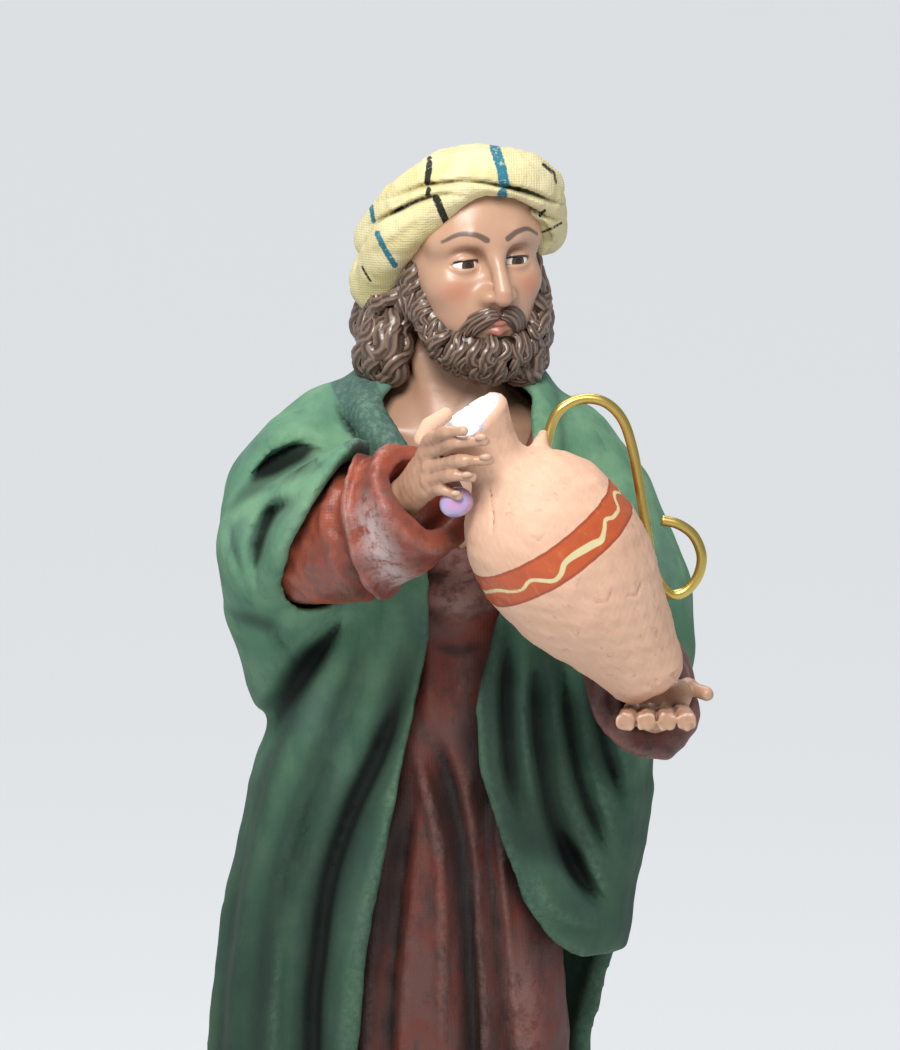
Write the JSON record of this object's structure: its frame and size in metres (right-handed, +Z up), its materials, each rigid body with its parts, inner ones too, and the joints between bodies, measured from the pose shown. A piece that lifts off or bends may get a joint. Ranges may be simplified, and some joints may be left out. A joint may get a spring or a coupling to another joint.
{
  "type": "nativity shepherd figurine",
  "caption": "Standing painted nativity shepherd in a turban, tunic and open cloak, holding a tilted clay jar with a bent wire handle, on a low oval base.",
  "frame": {"origin": "centre of the flat underside of the oval base", "axes": "+Z up through the figure; -Y is the way the figure faces, out of its chest; +X is towards its left hand, which carries the foot of the jar"},
  "size_m": [0.0934, 0.0949, 0.2469],
  "materials": {
    "base_paint": "matt earth-brown paint",
    "clay": "matt brushed peach clay with a painted orange band",
    "brass_wire": "polished",
    "painted_skin": "satin oil paint over gesso",
    "bead_glaze": "glossy lilac",
    "turban_cloth": "fine weave stiffened with glue, painted stripes",
    "tunic_cloth": "stiffened with glue, worn oxblood paint",
    "cloak_cloth": "stiffened with glue, antiqued green paint"
  },
  "bodies": {
    "root": {"oval_base": "base_paint", "clay_jar": "clay", "wire_handle": "brass_wire", "right_hand": "painted_skin", "left_hand": "painted_skin", "lilac_bead": "bead_glaze", "head_and_neck": "painted_skin", "turban": "turban_cloth", "right_foot": "painted_skin", "left_foot": "painted_skin", "tunic": "tunic_cloth", "cloak": "cloak_cloth"}
  },
  "joints": []
}
